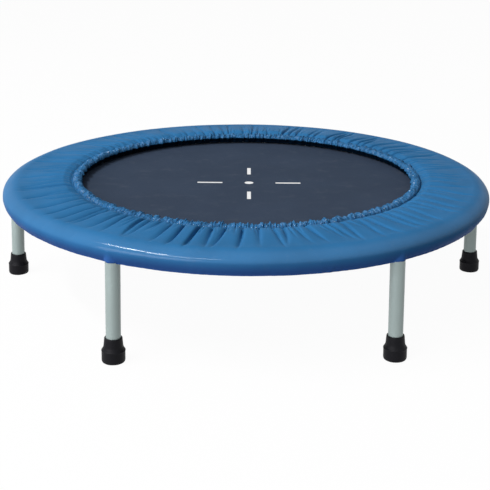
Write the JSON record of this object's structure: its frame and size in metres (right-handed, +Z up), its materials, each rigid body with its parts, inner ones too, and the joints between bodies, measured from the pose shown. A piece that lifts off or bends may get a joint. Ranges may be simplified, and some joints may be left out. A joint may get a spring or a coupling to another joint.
{
  "type": "mini trampoline",
  "caption": "Round mini trampoline with a dark jumping sheet, a blue gathered pad cover and grey screw-in legs on black rubber feet.",
  "frame": {"origin": "on the floor, under the middle of the round ring", "axes": "+Z up; legs stand at 0, 60, 120, 180, 240 and 300 degrees from +X, and the pictured front faces -Y"},
  "size_m": [0.995, 0.9644, 0.2168],
  "materials": {
    "grey_coat": "satin",
    "bare_steel": "satin",
    "foot_rubber": "matte",
    "cover_cloth": "satin",
    "foam": "matte",
    "elastic": "matte",
    "sheet_weave": "matte",
    "webbing": "matte"
  },
  "bodies": {
    "frame": {"frame_ring": "grey_coat", "foam_pad": "foam", "cover_top": "cover_cloth", "cover_skirt": "cover_cloth", "hem_elastic": "elastic", "springs": "bare_steel", "leg_socket_1": "grey_coat", "leg_socket_2": "grey_coat", "leg_socket_3": "grey_coat", "leg_socket_4": "grey_coat", "leg_socket_5": "grey_coat", "leg_socket_6": "grey_coat"},
    "mat_edge": {"v_rings": "bare_steel", "mat_webbing": "webbing"},
    "mat": {"mat_sheet": "sheet_weave"},
    "washer_1": {"leg_washer_1": "bare_steel"},
    "leg_1": {"leg_stud_1": "bare_steel", "leg_tube_1": "grey_coat", "foot_1": "foot_rubber"},
    "washer_2": {"leg_washer_2": "bare_steel"},
    "leg_2": {"leg_stud_2": "bare_steel", "leg_tube_2": "grey_coat", "foot_2": "foot_rubber"},
    "washer_3": {"leg_washer_3": "bare_steel"},
    "leg_3": {"leg_stud_3": "bare_steel", "leg_tube_3": "grey_coat", "foot_3": "foot_rubber"},
    "washer_4": {"leg_washer_4": "bare_steel"},
    "leg_4": {"leg_stud_4": "bare_steel", "leg_tube_4": "grey_coat", "foot_4": "foot_rubber"},
    "washer_5": {"leg_washer_5": "bare_steel"},
    "leg_5": {"leg_stud_5": "bare_steel", "leg_tube_5": "grey_coat", "foot_5": "foot_rubber"},
    "washer_6": {"leg_washer_6": "bare_steel"},
    "leg_6": {"leg_stud_6": "bare_steel", "leg_tube_6": "grey_coat", "foot_6": "foot_rubber"}
  },
  "joints": [
    {"name": "mat_edge_drop", "type": "slide", "parent": "frame", "child": "mat_edge", "axis": [0, 0, -1], "range_m": [0, 0.03], "deforming": ["springs"]},
    {"name": "mat_bounce", "type": "slide", "parent": "mat_edge", "child": "mat", "axis": [0, 0, -1], "range_m": [0, 0.08], "stiffness_N_per_m": 13500, "springref_m": -0.005},
    {"name": "leg_1_lower", "type": "slide", "parent": "frame", "child": "washer_1", "axis": [0.0262, 0.0453, -0.9986], "range_m": [0, 0.0201]},
    {"name": "leg_1_unscrew", "type": "hinge", "parent": "washer_1", "child": "leg_1", "pos_m": [0.23375, 0.40487, 0.195], "axis": [0.0262, 0.0453, -0.9986], "range_deg": [0, 4800]},
    {"name": "leg_2_lower", "type": "slide", "parent": "frame", "child": "washer_2", "axis": [-0.0262, 0.0453, -0.9986], "range_m": [0, 0.0201]},
    {"name": "leg_2_unscrew", "type": "hinge", "parent": "washer_2", "child": "leg_2", "pos_m": [-0.23375, 0.40487, 0.195], "axis": [-0.0262, 0.0453, -0.9986], "range_deg": [0, 4800]},
    {"name": "leg_3_lower", "type": "slide", "parent": "frame", "child": "washer_3", "axis": [-0.0523, 0, -0.9986], "range_m": [0, 0.0201]},
    {"name": "leg_3_unscrew", "type": "hinge", "parent": "washer_3", "child": "leg_3", "pos_m": [-0.4675, 0, 0.195], "axis": [-0.0523, 0, -0.9986], "range_deg": [0, 4800]},
    {"name": "leg_4_lower", "type": "slide", "parent": "frame", "child": "washer_4", "axis": [-0.0262, -0.0453, -0.9986], "range_m": [0, 0.0201]},
    {"name": "leg_4_unscrew", "type": "hinge", "parent": "washer_4", "child": "leg_4", "pos_m": [-0.23375, -0.40487, 0.195], "axis": [-0.0262, -0.0453, -0.9986], "range_deg": [0, 4800]},
    {"name": "leg_5_lower", "type": "slide", "parent": "frame", "child": "washer_5", "axis": [0.0262, -0.0453, -0.9986], "range_m": [0, 0.0201]},
    {"name": "leg_5_unscrew", "type": "hinge", "parent": "washer_5", "child": "leg_5", "pos_m": [0.23375, -0.40487, 0.195], "axis": [0.0262, -0.0453, -0.9986], "range_deg": [0, 4800]},
    {"name": "leg_6_lower", "type": "slide", "parent": "frame", "child": "washer_6", "axis": [0.0523, 0, -0.9986], "range_m": [0, 0.0201]},
    {"name": "leg_6_unscrew", "type": "hinge", "parent": "washer_6", "child": "leg_6", "pos_m": [0.4675, 0, 0.195], "axis": [0.0523, 0, -0.9986], "range_deg": [0, 4800]}
  ],
  "couplings": [
    {"joint": "mat_edge_drop", "follows": "mat_bounce", "ratio": 0.375},
    {"joint": "leg_1_lower", "follows": "leg_1_unscrew", "m_per_rad": 0.00023873},
    {"joint": "leg_2_lower", "follows": "leg_2_unscrew", "m_per_rad": 0.00023873},
    {"joint": "leg_3_lower", "follows": "leg_3_unscrew", "m_per_rad": 0.00023873},
    {"joint": "leg_4_lower", "follows": "leg_4_unscrew", "m_per_rad": 0.00023873},
    {"joint": "leg_5_lower", "follows": "leg_5_unscrew", "m_per_rad": 0.00023873},
    {"joint": "leg_6_lower", "follows": "leg_6_unscrew", "m_per_rad": 0.00023873}
  ]
}
